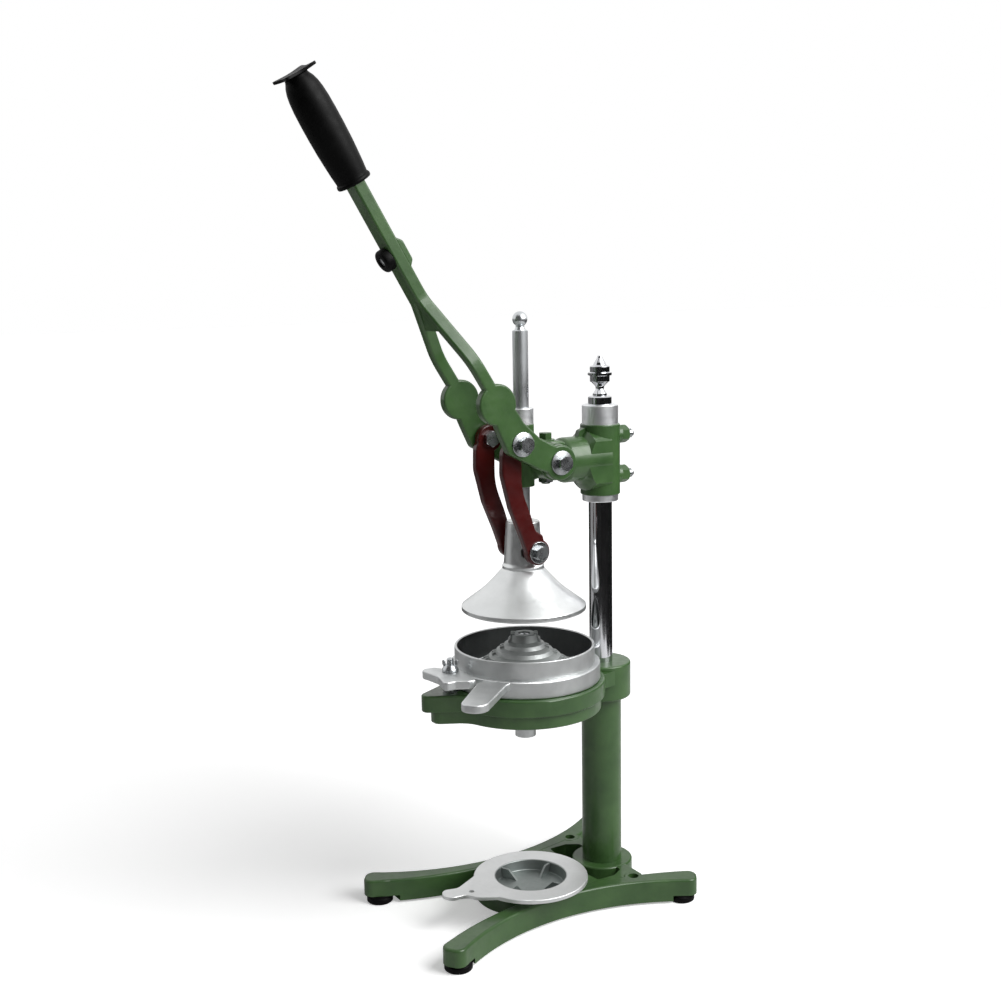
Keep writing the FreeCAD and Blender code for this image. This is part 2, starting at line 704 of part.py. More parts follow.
def lower_bush():
    """Aluminium bush: a lip under the head and a sleeve pressed into it."""
    profile = [(column_r + fit, -lower_lip, 0), (bush_r, -lower_lip, 1.0), (bush_r, 0, 0),
               (bush_sleeve_r, 0, 0), (bush_sleeve_r, 10, 0), (column_r + fit, 10, 0)]
    return turned(profile, Vector(0, 0, head_bottom), UP)


def upper_collar():
    """Aluminium collar: a drum on the head with a short sleeve pressed into it."""
    profile = [(column_r + fit, -6, 0), (bush_sleeve_r, -6, 0), (bush_sleeve_r, 0, 0),
               (bush_r, 0, 0), (bush_r, collar_high, 1.0), (column_r + fit, collar_high, 0)]
    return turned(profile, Vector(0, 0, head_top), UP)


def head_lock_screws():
    screws = []
    for z in (lock_screw_low, lock_screw_high):
        profile = [(0, 0, 0), (lock_screw_r - 0.6, 0, 0), (lock_screw_r, 1.5, 0),
                   (lock_screw_r, lock_screw_end - column_r - 2, 0),
                   (lock_screw_r - 1.4, lock_screw_end - column_r, 0),
                   (0, lock_screw_end - column_r, 0)]
        screws.append(turned(profile, Vector(0, column_r + fit, z), BACK))
    return Part.makeCompound(screws)


def head_lock_nuts():
    nuts = []
    for z in (lock_screw_low, lock_screw_high):
        near = Vector(0, lock_pad_y, z)
        far = Vector(0, lock_pad_y + lock_nut_thick, z)
        nuts.append(hexagon(lock_nut_flats, near, far).cut(cylinder(lock_screw_r, near, far)))
    return Part.makeCompound(nuts)


def rod_bush():
    sleeve = rod_boss_r - 2.2
    profile = [(guide_rod_r + fit, rod_boss_bottom + 6, 0), (sleeve, rod_boss_bottom + 6, 0),
               (sleeve, rod_boss_top, 0), (rod_bush_r, rod_boss_top, 0),
               (rod_bush_r, rod_boss_top + rod_bush_high, 0.8),
               (guide_rod_r + fit, rod_boss_top + rod_bush_high, 0)]
    return turned(profile, Vector(0, rod_y, 0), UP)


def head_bolt():
    y = fulcrum_y + head_bolt_back
    head = hexagon(head_bolt_flats, Vector(0, y, head_bolt_seat), Vector(0, y, head_bolt_seat + 6))
    shank = cylinder(head_bolt_r, Vector(0, y, head_nut_seat - 7.5), Vector(0, y, head_bolt_seat + 1))
    return joined(head, shank)


def head_bolt_nut():
    y = fulcrum_y + head_bolt_back
    top = Vector(0, y, head_nut_seat)
    low = Vector(0, y, head_nut_seat - 6)
    return hexagon(bolt_flats, top, low).cut(cylinder(head_bolt_r, low, top))


def flange_bolt(centre, shank_r, inner, seat):
    """Flanged hexagon bolt that enters from the right side."""
    def at(x):
        return Vector(x, centre.y, centre.z)

    flange = turned([(0, 0, 0), (bolt_flange_r, 0, 0), (bolt_flange_r, bolt_flange_thick * 0.5, 0.4),
                     (bolt_flats / 2, bolt_flange_thick, 0), (0, bolt_flange_thick, 0)],
                    at(seat), ACROSS)
    head = hexagon(bolt_flats, at(seat + 0.5), at(seat + bolt_flange_thick + bolt_head_high))
    return joined(flange, head, cylinder(shank_r, at(inner), at(seat + 0.5)))


def fulcrum_bolts():
    return both_sides(flange_bolt(FULCRUM, fulcrum_bolt_r, fulcrum_bolt_inner, cheek_outside + gap))


# Lever: yoke casting with two cheeks, grip and bumper

def cheek(x):
    """One cheek of the yoke, with the eyes for the fulcrum bolt and the link bolt."""
    place = lever_side(x)
    depth = ACROSS * cheek_thick
    s, t = crank_s, crank_t
    plate = [(cheek_disc_at + 3, -17, 0), (s + 26, t + 10.8, 0), (s + 15.4, t + 11.3, 8),
             (s - 5.2, t + 17.9, 10), (s - 15.4, t + 24, 8), (4, eye_r - 4, 0), (-8, -8, 0),
             (6.9, -21.5, 0), (s + 0.5, t - 16.2, 7), (s + 22, t - 14.4, 0), (cheek_disc_at + 3, -36, 0)]
    disc_centre = place(cheek_disc_at - 1.5, bar_mid + arm_shift / 2)
    disc = cylinder(cheek_disc_r, disc_centre, disc_centre + depth)
    eye = cylinder(eye_r, place(0, 0), place(0, 0) + depth)
    solid = joined(slab(plate, place, depth), disc, eye)
    solid = solid.makeFillet(1.8, side_edges(solid, x) + side_edges(solid, x + cheek_thick))
    solid = solid.cut(cylinder(fulcrum_bolt_r + fit, place(0, 0) - ACROSS, place(0, 0) + depth + ACROSS))
    return solid.cut(cylinder(link_bolt_r, place(s, t) - ACROSS, place(s, t) + depth + ACROSS))


def lever_arm():
    """Right arm: runs from the bar outwards and a little back to the cheek, with rounded edges."""
    half = bar_wide / 2
    slope = (cheek_outside - half) / (crotch_at - spread_at)
    shift = cheek_thick * math.sqrt(1 + slope ** 2)
    inner_turn = spread_at - (shift - cheek_thick) / slope
    arm_end = crotch_at + 10
    disc_side = cheek_disc_at - 6
    corners = [(arm_end, 0, 0), (arm_end, half, 0), (crotch_at, half, 25),
               (spread_at, cheek_outside, 55), (disc_side, cheek_outside, 0),
               (disc_side, cheek_inside, 0), (inner_turn, cheek_inside, 46),
               (crotch_at - shift / slope + half / slope, 0, 0)]
    step = REAR * (arm_shift / (arm_end - cheek_disc_at))

    def place(s, x):
        return lever_side(x)(s, bar_mid - bar_deep / 2) + step * (arm_end - s)

    solid = slab(corners, place, REAR * bar_deep)
    edges = []
    for edge in solid.Edges:
        box = edge.BoundBox
        along = (edge.CenterOfMass - FULCRUM).dot(ALONG)
        at_end = abs(along - arm_end) < 1 or abs(along - disc_side) < 1
        if box.XMax > 1e-3 and not at_end and not is_straight(edge, REAR):
            edges.append(edge)
    return solid.makeFillet(arm_edge, edges)


def lever_yoke():
    place = lever_side(-bar_wide / 2)
    across = ACROSS * bar_wide
    front = bar_mid - bar_deep / 2
    rear = bar_mid + bar_deep / 2
    bar = slab([(crotch_at, front, 0), (grip_start, front, 0), (grip_start, rear, 0),
                (crotch_at, rear, 0)], place, across)
    bar = bar.makeFillet(arm_edge, [edge for edge in bar.Edges if is_straight(edge, ALONG)])
    pad = slab([(bumper_at - 16, rear - 2, 0), (bumper_at - 10, rear + 4, 4),
                (bumper_at + 8, rear + 4, 5), (bumper_at + 15, rear - 2, 0)], place, across)
    pad = pad.makeFillet(1.4, side_edges(pad, bar_wide / 2) + side_edges(pad, -bar_wide / 2))
    spigot = cylinder(grip_spigot_r, lever_side(0)(grip_start, bar_mid),
                      lever_side(0)(grip_end - 5, bar_mid))
    right_arm = lever_arm()
    right_cheek = cheek(cheek_inside)

    def in_web(s, x):
        return lever_side(x)(s, bar_mid - 2.5)

    web_half = (crotch_at - crotch_web_end) * 0.3 + 4
    web = slab([(crotch_at + 6, -4, 0), (crotch_at + 6, 4, 0), (crotch_web_end, web_half, 0),
                (crotch_web_end, -web_half, 0)], in_web, REAR * 5)
    body = joined(bar, pad, spigot, web, right_arm, mirrored(right_arm), right_cheek, mirrored(right_cheek))
    screw = lever_side(0)(bumper_at, front - 1)
    return body.cut(cylinder(2.0, screw, screw + REAR * 9))


def hand_grip():
    long = grip_end - grip_start
    profile = [(grip_spigot_r, 0, 0), (15.0, 0, 0.8), (15.0, 3.6, 0.8), (13.9, 4.4, 0.4),
               (14.6, 10, 4), (grip_r, long * 0.45, 60), (grip_r, long * 0.78, 20),
               (13.4, long * 0.93, 5), (10.2, long - 2.5, 2), (10.2, long, 0), (grip_spigot_r, long, 0)]
    return turned(profile, lever_side(0)(grip_start, bar_mid), ALONG)


def grip_end_cap():
    """Dished square cap with four drawn-out points."""
    half = cap_half
    dip = 2.6
    start = lever_side(0)(grip_end, bar_mid)
    corners = []
    reach = half * math.sqrt(2) * 0.86
    for turn in range(4):
        angle = math.radians(90 * turn + 45)
        corners.append((reach * math.cos(angle), reach * math.sin(angle), 2.0))
        side = math.radians(90 * turn + 90)
        corners.append(((half - dip) * math.cos(side), (half - dip) * math.sin(side), 16.0))
    low = start + ALONG * 1.5
    plate = slab(corners, lambda a, b: low + ACROSS * a + REAR * b, ALONG * (cap_thick - 1.5))
    neck = cylinder(10.2, start, start + ALONG * 2)
    dish = Part.makeSphere(40, start + ALONG * (cap_thick - 1.6 + 40))
    return joined(plate, neck).cut(dish)


def bumper_seat():
    return bar_mid - bar_deep / 2


def lever_bumper():
    """Rubber puck on the front of the bar, held by a countersunk screw."""
    base = lever_side(0)(bumper_at, bumper_seat())
    profile = [(2.0 + gap, 0, 0), (bumper_r - 0.6, 0, 0), (bumper_r, 1.5, 1.0),
               (bumper_r - 0.8, bumper_thick, 2.0), (4.2, bumper_thick, 0),
               (4.2, bumper_thick - 2.4, 0), (2.0 + gap, bumper_thick - 2.4, 0)]
    return turned(profile, base, -REAR)


def bumper_screw():
    base = lever_side(0)(bumper_at, bumper_seat())
    high = bumper_thick - 2.4
    profile = [(0, -7.5, 0), (2.0, -7.5, 0), (2.0, high, 0), (3.9, high, 0), (3.9, high + 1.2, 0.5),
               (0, high + 1.8, 0)]
    return turned(profile, base, -REAR)


def link_top_bolts():
    return both_sides(flange_bolt(CRANK, link_bolt_r, link_inside - gap - link_nut_thick, cheek_outside))


def link_top_nuts():
    outer = Vector(link_inside - gap, crank_y, crank_z)
    inner = Vector(link_inside - gap - link_nut_thick, crank_y, crank_z)
    return both_sides(hexagon(bolt_flats, outer, inner).cut(cylinder(link_bolt_r, inner, outer)))


# Links: two curved flat bars from the lever to the neck of the press cone

LINK_DOWN = (FOOT - CRANK) * (1 / link_length)
LINK_FRONT = Vector(0, LINK_DOWN.z, -LINK_DOWN.y)


def link(x):
    """Curved flat bar, bowed towards the front, with a shoulder above its foot."""
    def place(down, out):
        return CRANK + LINK_DOWN * down + LINK_FRONT * out + ACROSS * x

    depth = ACROSS * link_thick
    foot = link_length
    blade = [(-8, 5, 0), (4, 16, 12), (foot * 0.234, 20.8, 26), (foot * 0.546, 19.4, 34),
             (foot - 20, 14.2, 30), (foot + 2, 11, 0), (foot + 8, -8, 0), (foot - 14, -8, 4),
             (foot - 20, -1.5, 8), (foot * 0.663, 0, 40), (foot * 0.409, 4.2, 60),
             (foot * 0.175, -1, 30), (-6, -6, 0)]
    top = cylinder(12.5, place(0, 0), place(0, 0) + depth)
    low = cylinder(12.0, place(foot, 0), place(foot, 0) + depth)
    solid = joined(slab(blade, place, depth), top, low)
    solid = solid.makeFillet(1.5, side_edges(solid, x) + side_edges(solid, x + link_thick))
    solid = solid.cut(cylinder(link_bolt_r + fit, place(0, 0) - ACROSS, place(0, 0) + depth + ACROSS))
    return solid.cut(cylinder(foot_bolt_r, place(foot, 0) - ACROSS, place(foot, 0) + depth + ACROSS))


def foot_bolt():
    """Bolt of a link's foot: its plain end runs in the slot of the cone's neck."""
    def at(x):
        return Vector(x, FOOT.y, FOOT.z)

    seat = link_outside + 1.6
    head = hexagon(11.5, at(seat), at(seat + 5.2))
    return joined(head, cylinder(foot_bolt_r, at(foot_bolt_inner), at(seat + 1)))


def foot_washer():
    seat = Vector(link_outside, FOOT.y, FOOT.z)
    washer = ring(10.0, foot_bolt_r, seat, seat + ACROSS * 1.6)
    return washer.makeFillet(0.4, [edge for edge in side_edges(washer, link_outside + 1.6)
                                   if edge.Curve.Radius > foot_bolt_r + 1])


# Press: guide rod, its ball knob and the press cone

rod_low = foot_z - 11.5
neck_top = foot_z + 25.7
neck_bottom = foot_z - 17.2
lip_z = foot_z - lip_drop
rim_z = lip_z + cone_lip


def guide_rod():
    profile = [(0, rod_low, 0), (guide_rod_r, rod_low, 0), (guide_rod_r, guide_rod_top - 0.8, 0),
               (guide_rod_r - 0.8, guide_rod_top, 0), (0, guide_rod_top, 0)]
    return turned(profile, Vector(0, rod_y, 0), UP)


def rod_ball_knob():
    neck = 3.9
    drop = math.sqrt(ball_r ** 2 - neck ** 2)
    base = Vector(0, rod_y, guide_rod_top)
    high = ball_z - guide_rod_top - drop + 1
    stem = turned([(0, 0, 0), (neck + 1.2, 0, 0), (neck, 2.6, 1.5), (neck, high, 0), (0, high, 0)], base, UP)
    return joined(Part.makeSphere(ball_r, Vector(0, rod_y, ball_z)), stem)


def press_cone():
    """Cast cone: slender neck over the rod, a bead, a trumpet flank and a rolled lip."""
    crown = neck_bottom - 2.0
    crown_r = neck_low_r - cone_wall
    profile = [(guide_rod_r, neck_top, 0), (neck_top_r, neck_top, 1.5),
               (neck_low_r - 0.9, neck_bottom + 4, 3), (neck_low_r + 0.6, neck_bottom + 1.5, 0.8),
               (neck_low_r + 0.4, neck_bottom - 1, 0.6),
               (neck_low_r + flank_out, neck_bottom - flank_down, flank_curve),
               (cone_r - 1.5, rim_z + 2.2, 1.0),
               (cone_r, rim_z + 1, 0.8), (cone_r, lip_z + 1.2, 1.0), (cone_r - 3.0, lip_z, 1.0),
               (crown_r, crown, 6), (guide_rod_r, crown, 0)]
    body = turned(profile, Vector(0, rod_y, 0), UP)
    plug = cylinder(guide_rod_r + 0.01, Vector(0, rod_y, crown), Vector(0, rod_y, rod_low))
    body = joined(body, plug)
    for side in (-1, 1):
        inner = foot_bolt_inner - 1
        box = Part.makeBox(20, 2 * slot_half, foot_bolt_r * 2 + slot_drop + 0.6,
                           Vector(inner if side > 0 else -inner - 20, rod_y - slot_half,
                                  foot_z - foot_bolt_r - slot_drop))
        box = box.makeFillet(foot_bolt_r, [edge for edge in box.Edges if is_straight(edge, ACROSS)])
        body = body.cut(box)
    return body


# Latch on the table's lug, with its stud and wing nut

latch_top = pan_top + latch_proud
latch_low = latch_top - latch_thick


def latch_stud():
    profile = [(0, 206, 0), (stud_r, 206, 0), (stud_r, stud_top - 0.8, 0), (stud_r - 0.8, stud_top, 0),
               (0, stud_top, 0)]
    return turned(profile, Vector(stud_x, stud_y, 0), UP)


def latch_spacer():
    return ring(latch_spacer_r, stud_r, Vector(stud_x, stud_y, table_top),
                Vector(stud_x, stud_y, latch_low - seat_gap))


def latch_lever():
    """Cam plate in plan, measured from its stud: nose to the right, thumb end to the left."""
    corners = [(-21, -22, 6), (-19.5, -6, 5), (-9, 0.5, 8), (0, 8, 8), (11, 8.2, 8),
               (22, 8.2, 6), (35.2, 6.8, 3), (35.6, -1, 5), (29.5, -12, 6), (29.5, -22.5, 4), (8, -17, 12),
               (-8, -19, 10)]
    plate = slab(corners, lambda a, b: Vector(stud_x + a, stud_y + b, latch_low), UP * latch_thick)
    plate = plate.makeFillet(1.4, level_edges(plate, latch_top) + level_edges(plate, latch_low))
    low = Vector(stud_x, stud_y, latch_low - 1)
    plate = plate.cut(cylinder(stud_r + fit, low, low + UP * 10))
    pan_space = Vector(0, rod_y, latch_low - 1)
    return plate.cut(cylinder(pan_r + gap, pan_space, pan_space + UP * 10))


def wing_nut():
    low = latch_top + gap
    base = Vector(stud_x, stud_y, low)
    boss = turned([(stud_r + fit, 0, 0), (wing_boss_r + 1.5, 0, 0.5), (wing_boss_r + 1.5, 2, 0.5),
                   (wing_boss_r - 1, wing_boss_high, 0.8), (stud_r + fit, wing_boss_high, 0)], base, UP)
    wing = [(wing_boss_r - 2, 1.5, 0), (wing_boss_r - 0.6, 3, 1), (wing_span, 6.5, 2),
            (wing_span, wing_high, 1.2), (wing_boss_r - 1.6, wing_high - 0.6, 1.2),
            (wing_boss_r - 2, 5, 0)]
    out = Vector(math.cos(math.radians(wing_angle)), math.sin(math.radians(wing_angle)), 0)
    side = UP.cross(out)
    wings = []
    for way in (-1, 1):
        start = base - side * (wing_thick / 2)
        blade = slab(wing, lambda a, b: start + out * (way * a) + UP * b, side * wing_thick)
        rounded = []
        for edge in blade.Edges:
            if abs((edge.CenterOfMass - base).dot(side)) > wing_thick / 2 - 1e-3:
                rounded.append(edge)
        wings.append(blade.makeFillet(0.7, rounded))
    return joined(boss, *wings)


# Spare strainer plate that lies on the base

def spare_strainer_plate():
    centre = Vector(spare_x, spare_y, base_top + seat_gap)
    cup = spare_cup_r
    high = spare_high
    thick = spare_thick
    profile = [(0, 0, 0), (cup, 0, 1.5), (cup + thick, high - thick, 0),
               (spare_r - 1.5, high - thick, 0), (spare_r - 1.5, high - thick - 1.5, 0),
               (spare_r, high - thick - 1.5, 0), (spare_r, high, 1.0), (cup, high, 1.0),
               (cup - 1.5, thick, 1.0), (0, thick, 0)]
    plate = turned(profile, centre, UP)
    fins = []
    for index in range(spare_fins):
        angle = math.radians(360 * index / spare_fins + 25)
        out = Vector(math.cos(angle), math.sin(angle), 0)
        side = Vector(-math.sin(angle), math.cos(angle), 0)
        start = centre + out * (cup * 0.45) - side * 1.0 + UP * (thick - 0.5)
        fins.append(slab([(0, 0, 0), (cup * 0.55 + 1, 0, 0), (cup * 0.55 + 1, high - thick - 0.5, 0),
                          (cup * 0.3, high - thick - 0.5, 2)],
                         lambda a, b: start + out * a + UP * b, side * 2.0))
    tab = [(-28, -38, 0), (-27.5, -45, 14), (-13, -71, 8), (-17, -87, 7), (2, -92, 9), (3, -72, 10),
           (13.5, -65, 14), (30, -36, 0)]
    tongue = slab(tab, lambda a, b: centre + Vector(a, b, high - thick - 1.2), UP * (thick + 1.2))
    tongue = tongue.makeFillet(0.8, level_edges(tongue, centre.z + high))
    through = UP * (2 * high)
    body = joined(plate, tongue.cut(cylinder(spare_r - 3, centre, centre + through)), *fins)
    hole = centre + Vector(0.5, -64, 0)
    return body.cut(cylinder(2.5, hole, hole + through))


NODES = {
    "base_casting": base_casting(),
    "rubber_feet": rubber_feet(),
    "foot_screws": foot_screws(),
    "column_rod": column_rod(),
    "column_nut": column_nut(),
    "column_finial": column_finial(),
    "spacer_tube": spacer_tube(),
    "table_casting": table_casting(),
    "juice_pan": juice_pan(),
    "spout_funnel": spout_funnel(),
    "spout_tube": spout_tube(),
    "strainer_bowl": strainer_bowl(),
    "reamer_cone": reamer_cone(),
    "reamer_screw": reamer_screw(),
    "head_casting": head_casting(),
    "lower_bush": lower_bush(),
    "upper_collar": upper_collar(),
    "head_lock_screws": head_lock_screws(),
    "head_lock_nuts": head_lock_nuts(),
    "rod_bush": rod_bush(),
    "head_bolt": head_bolt(),
    "head_bolt_nut": head_bolt_nut(),
    "fulcrum_bolts": fulcrum_bolts(),
    "lever_yoke": lever_yoke(),
    "hand_grip": hand_grip(),
    "grip_end_cap": grip_end_cap(),
    "lever_bumper": lever_bumper(),
    "bumper_screw": bumper_screw(),
    "link_top_bolts": link_top_bolts(),
    "link_top_nuts": link_top_nuts(),
    "link_right": link(link_inside),
    "link_left": link(-link_outside),
    "link_foot_bolts": both_sides(foot_bolt()),
    "link_foot_washers": both_sides(foot_washer()),
    "guide_rod": guide_rod(),
    "rod_ball_knob": rod_ball_knob(),
    "press_cone": press_cone(),
    "latch_stud": latch_stud(),
    "latch_spacer": latch_spacer(),
    "latch_lever": latch_lever(),
    "wing_nut": wing_nut(),
    "spare_strainer_plate": spare_strainer_plate(),
}

# The origin is the middle of the whole press in plan, on the floor
front = NODES["grip_end_cap"].optimalBoundingBox().YMin
back = NODES["base_casting"].optimalBoundingBox().YMax
column_y = -(front + back) / 2

os.makedirs("parts", exist_ok=True)
for name, shape in NODES.items():
    placed = shape.translated(Vector(0, column_y, 0))
    placed.exportStep("parts/" + name + ".step")
    if not placed.isValid():
        print("not valid:", name)
print("column axis at y =", round(column_y, 3), "link foot at z =", round(foot_z, 3))
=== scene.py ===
import json
import math

import bpy
from mathutils import Matrix, Vector


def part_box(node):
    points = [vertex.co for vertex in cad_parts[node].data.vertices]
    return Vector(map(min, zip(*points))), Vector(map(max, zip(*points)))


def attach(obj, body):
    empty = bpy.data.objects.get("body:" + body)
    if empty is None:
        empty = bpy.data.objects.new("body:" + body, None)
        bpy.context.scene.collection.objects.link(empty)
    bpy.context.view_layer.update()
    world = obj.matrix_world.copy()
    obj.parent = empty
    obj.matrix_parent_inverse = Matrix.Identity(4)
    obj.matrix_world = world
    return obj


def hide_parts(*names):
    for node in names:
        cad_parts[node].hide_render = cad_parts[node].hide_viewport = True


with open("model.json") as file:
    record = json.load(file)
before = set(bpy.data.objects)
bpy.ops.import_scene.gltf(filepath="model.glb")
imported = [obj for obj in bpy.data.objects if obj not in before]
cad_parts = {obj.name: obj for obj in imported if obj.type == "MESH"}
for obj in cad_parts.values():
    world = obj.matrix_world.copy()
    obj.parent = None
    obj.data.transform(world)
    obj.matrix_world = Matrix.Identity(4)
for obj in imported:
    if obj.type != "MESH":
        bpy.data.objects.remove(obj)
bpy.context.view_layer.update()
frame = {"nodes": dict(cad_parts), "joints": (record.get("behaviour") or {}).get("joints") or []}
nodes = frame["nodes"]

# Lever citrus juice press. The sections follow the press as it is put together, from the feet up.
# Lengths are in metres, and the floor is at height 0.
mm = 0.001


# Base: a bowed, H-shaped iron casting with a socket for the column. It is sand-cast, filed along
# its edges and sprayed with green enamel, whose skin bridges the sand's grain into soft waves.


def linear(colour):
    """Colour for a socket from an sRGB hex value."""
    parts = [int(colour[i:i + 2], 16) / 255 for i in (1, 3, 5)]
    return [c / 12.92 if c <= 0.04045 else ((c + 0.055) / 1.055) ** 2.4 for c in parts] + [1.0]


def add_node(material, kind, inputs=(), **settings):
    """Adds a node with its settings. Each input takes a plain value or another node's output."""
    node = material.node_tree.nodes.new(kind)
    for name, value in settings.items():
        setattr(node, name, value)
    for name, value in dict(inputs).items():
        if isinstance(value, bpy.types.NodeSocket):
            material.node_tree.links.new(value, node.inputs[name])
        else:
            node.inputs[name].default_value = value
    return node


def start_finish(name, **sockets):
    """New material whose shader has these plain values. Returns it with its shader and object coordinates."""
    material = bpy.data.materials.new(name)
    material.use_nodes = True
    shader = material.node_tree.nodes["Principled BSDF"]
    for socket, value in sockets.items():
        shader.inputs[socket.replace("_", " ")].default_value = value
    place = add_node(material, "ShaderNodeTexCoord").outputs["Object"]
    return material, shader, place


def grain(material, place, size, detail=2.0, stretch=(1, 1, 1)):
    """Noise whose lumps are about that size in metres, drawn out along an axis where stretch is small."""
    drawn = add_node(material, "ShaderNodeMapping", {"Vector": place, "Scale": stretch})
    return add_node(material, "ShaderNodeTexNoise", {
        "Vector": drawn.outputs["Vector"], "Scale": 1 / size, "Detail": detail}).outputs["Fac"]


def between(material, amount, low, high, start=0.3, end=0.7):
    """Number that runs from low to high as the amount runs from start to end."""
    return add_node(material, "ShaderNodeMapRange", {
        "Value": amount, "From Min": start, "From Max": end, "To Min": low, "To Max": high}).outputs["Result"]


def blend_colours(material, amount, first, second):
    """Colour that turns from the first hex value to the second one as the amount runs from 0 to 1."""
    return add_node(material, "ShaderNodeMix", {
        0: amount, 6: linear(first), 7: linear(second)}, data_type="RGBA").outputs[2]


def relief(material, height, depth, under=None):
    """Bump of that depth in metres, laid over another bump where one is given."""
    inputs = {"Height": height, "Distance": depth, "Strength": 1.0}
    if under:
        inputs["Normal"] = under
    return add_node(material, "ShaderNodeBump", inputs).outputs["Normal"]


def connect(material, shader, **sockets):
    for socket, value in sockets.items():
        material.node_tree.links.new(value, shader.inputs[socket.replace("_", " ")])


def sprayed_enamel(name, deep, pale):
    """Stoved enamel on a casting: gloss skin, orange peel of about 1.5 mm and the slow waves of sand."""
    material, shader, place = start_finish(
        name, Coat_Weight=0.3, Coat_Roughness=0.12, IOR=1.5, Specular_IOR_Level=0.35, Metallic=0.0)
    clouds = between(material, grain(material, place, 30 * mm, 4.0), 0, 1)
    peel = relief(material, grain(material, place, 1.5 * mm, 1.0), 0.02 * mm)
    waves = relief(material, grain(material, place, 11 * mm, 3.0), 0.22 * mm, peel)
    connect(material, shader, Base_Color=blend_colours(material, clouds, deep, pale), Normal=waves,
            Roughness=between(material, grain(material, place, 6 * mm, 3.0), 0.3, 0.42))
    return material


def dress(material, *names):
    """Gives CAD nodes their finish."""
    for name in names:
        mesh = nodes[name].data
        mesh.materials.clear()
        mesh.materials.append(material)


green_enamel = sprayed_enamel("green stoved enamel on castings", "#304d27", "#405f33")
dress(green_enamel, "base_casting", "spacer_tube", "table_casting", "head_casting", "lever_yoke",
      "head_lock_nuts", "head_bolt")


# Feet: four moulded rubber pucks under the ends of the legs, each with a groove below its collar
# and a deep recess from below, in which the head of its zinc-plated screw sits clear of the floor.

foot_r = 12.5 * mm
foot_rings = [(11.4, 0), (12.5, 1.0), (12.5, 4.6), (12.1, 5.6), (11.2, 6.0), (11.2, 8.0)]


def clear_selection():
    if bpy.context.object and bpy.context.object.mode == "EDIT":
        bpy.ops.object.mode_set(mode="OBJECT")
    bpy.ops.object.select_all(action="DESELECT")


def pick_faces(piece, wanted):
    """Selects the faces of a piece that pass a test of their middle and normal, and enters edit mode."""
    bpy.ops.object.mode_set(mode="EDIT")
    bpy.ops.mesh.select_all(action="DESELECT")
    bpy.ops.object.mode_set(mode="OBJECT")
    for face in piece.data.polygons:
        face.select = wanted(face.center, face.normal)
    bpy.ops.object.mode_set(mode="EDIT")


def draw_up(name, rings, sides):
    """Turned blank about the Z axis: a disc drawn up through rings of (radius, height) in millimetres."""
    clear_selection()
    bpy.ops.mesh.primitive_circle_add(vertices=sides, radius=rings[0][0] * mm, fill_type="NGON",
                                      location=(0, 0, rings[0][1] * mm))
    piece = bpy.context.object
    piece.name = name
    bpy.ops.object.transform_apply(location=True)
    bpy.ops.object.mode_set(mode="EDIT")
    bpy.ops.mesh.select_all(action="SELECT")
    for (before, low), (radius, high) in zip(rings, rings[1:]):
        bpy.ops.mesh.extrude_region_move(TRANSFORM_OT_translate={"value": (0, 0, (high - low) * mm)})
        bpy.ops.transform.resize(value=(radius / before, radius / before, 1))
    bpy.ops.mesh.select_all(action="SELECT")
    bpy.ops.mesh.normals_make_consistent(inside=False)
    bpy.ops.object.mode_set(mode="OBJECT")
    return piece


def finish_piece(piece, body, material, base=Vector(), axis=Vector((0, 0, 1)), round_off=0.3 * mm, spin=0.0):
    """Rounds a piece's corners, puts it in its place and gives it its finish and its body."""
    clear_selection()
    piece.select_set(True)
    bpy.context.view_layer.objects.active = piece
    if round_off:
        corners = piece.modifiers.new("corners", "BEVEL")
        corners.width = round_off
        corners.segments = 3
        corners.limit_method = "ANGLE"
        corners.angle_limit = math.radians(28)
        bpy.ops.object.modifier_apply(modifier="corners")
    turn = axis.to_track_quat("Z", "X").to_matrix().to_4x4() @ Matrix.Rotation(spin, 4, "Z")
    piece.matrix_world = Matrix.Translation(base) @ turn
    bpy.ops.object.transform_apply(location=True, rotation=True, scale=True)
    bpy.ops.object.shade_smooth_by_angle(angle=math.radians(40))
    piece.data.materials.clear()
    piece.data.materials.append(material)
    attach(piece, body)


def moulded_rubber(name, colour, lit):
    """Black rubber: dull skin with the mould's fine spark grain, drawn at 0.5 mm so that it shows."""
    material, shader, place = start_finish(name, IOR=1.45, Specular_IOR_Level=0.12, Metallic=0.0)
    worn = between(material, grain(material, place, 18 * mm, 4.0), 0, 1)
    spark = relief(material, grain(material, place, 0.5 * mm, 2.0), 0.03 * mm)
    connect(material, shader, Base_Color=blend_colours(material, worn, colour, lit), Normal=spark,
            Roughness=between(material, grain(material, place, 7 * mm, 3.0), 0.4, 0.55))
    return material


black_rubber = moulded_rubber("black moulded rubber", "#040404", "#090909")
feet_low, feet_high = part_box("rubber_feet")
for side, x in (("left", feet_low.x + foot_r), ("right", feet_high.x - foot_r)):
    for end, y in (("front", feet_low.y + foot_r), ("rear", feet_high.y - foot_r)):
        foot = draw_up(f"foot_{end}_{side}", foot_rings, 48)
        pick_faces(foot, lambda middle, normal: normal.z < -0.9)
        bpy.ops.mesh.inset(thickness=6.2 * mm)
        bpy.ops.transform.translate(value=(0, 0, 4.2 * mm))
        bpy.ops.object.mode_set(mode="OBJECT")
        finish_piece(foot, "root", black_rubber, Vector((x, y, 0)))
        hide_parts("rubber_feet")


# Bolts, screws and nuts: cold-headed steel with bright zinc plate, whose passivation leaves a faint
# patchy haze. Its drawn steel below shows as fine scratches.


